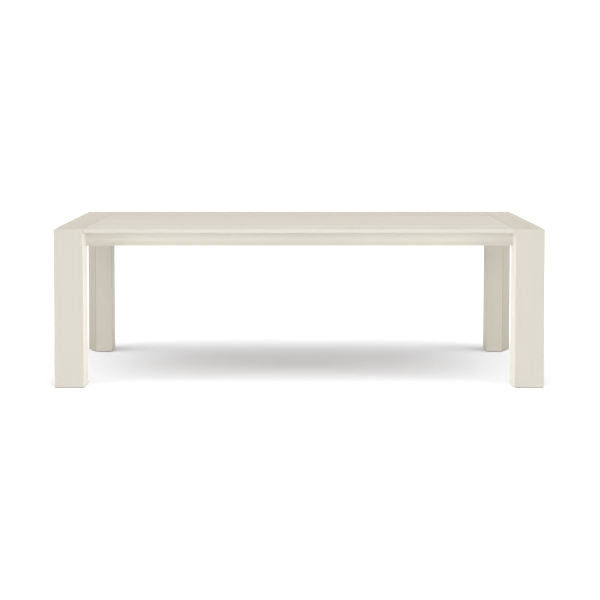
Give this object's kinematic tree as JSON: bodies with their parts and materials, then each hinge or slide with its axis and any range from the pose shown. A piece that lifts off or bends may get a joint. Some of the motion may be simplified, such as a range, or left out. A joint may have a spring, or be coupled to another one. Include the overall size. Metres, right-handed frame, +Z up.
{
  "type": "parsons dining table",
  "caption": "Long rectangular dining table with a plank top between end boards, wide square legs flush with its corners, a recessed apron and levelling feet.",
  "frame": {"origin": "on the floor, under the centre of the top", "axes": "+X along the table, +Y from front to back, +Z up"},
  "size_m": [2.337, 1.016, 0.762],
  "materials": {
    "whitewashed_wood": "whitewashed, matt lacquered",
    "bare_wood": "bare softwood",
    "zinc_steel": "zinc plated",
    "nylon": "matt"
  },
  "bodies": {
    "table": {"apron_back": "whitewashed_wood", "apron_front": "whitewashed_wood", "batten_screws": "zinc_steel", "corner_block_back_left": "bare_wood", "corner_block_back_right": "bare_wood", "corner_block_front_left": "bare_wood", "corner_block_front_right": "bare_wood", "cross_batten_left": "bare_wood", "cross_batten_middle": "bare_wood", "cross_batten_right": "bare_wood", "end_board_left": "whitewashed_wood", "end_board_right": "whitewashed_wood", "end_rail_left": "whitewashed_wood", "end_rail_right": "whitewashed_wood", "leg_back_left": "whitewashed_wood", "leg_back_right": "whitewashed_wood", "leg_front_left": "whitewashed_wood", "leg_front_right": "whitewashed_wood", "leg_insert_back_left": "zinc_steel", "leg_insert_back_right": "zinc_steel", "leg_insert_front_left": "zinc_steel", "leg_insert_front_right": "zinc_steel", "leg_loose_tenons": "bare_wood", "plank_spline_back": "bare_wood", "plank_spline_front": "bare_wood", "plank_spline_middle": "bare_wood", "top_clip_screws": "zinc_steel", "top_clips": "zinc_steel", "top_plank_back": "whitewashed_wood", "top_plank_front": "whitewashed_wood", "top_plank_middle_back": "whitewashed_wood", "top_plank_middle_front": "whitewashed_wood"},
    "foot_front_left": {"foot_pad_front_left": "nylon", "foot_stud_front_left": "zinc_steel"},
    "foot_front_right": {"foot_pad_front_right": "nylon", "foot_stud_front_right": "zinc_steel"},
    "foot_back_left": {"foot_pad_back_left": "nylon", "foot_stud_back_left": "zinc_steel"},
    "foot_back_right": {"foot_pad_back_right": "nylon", "foot_stud_back_right": "zinc_steel"}
  },
  "joints": [
    {"name": "foot_screw_front_left", "type": "slide", "parent": "table", "child": "foot_front_left", "axis": [0, 0, -1], "range_m": [0, 0.012]},
    {"name": "foot_screw_front_right", "type": "slide", "parent": "table", "child": "foot_front_right", "axis": [0, 0, -1], "range_m": [0, 0.012]},
    {"name": "foot_screw_back_left", "type": "slide", "parent": "table", "child": "foot_back_left", "axis": [0, 0, -1], "range_m": [0, 0.012]},
    {"name": "foot_screw_back_right", "type": "slide", "parent": "table", "child": "foot_back_right", "axis": [0, 0, -1], "range_m": [0, 0.012]}
  ]
}
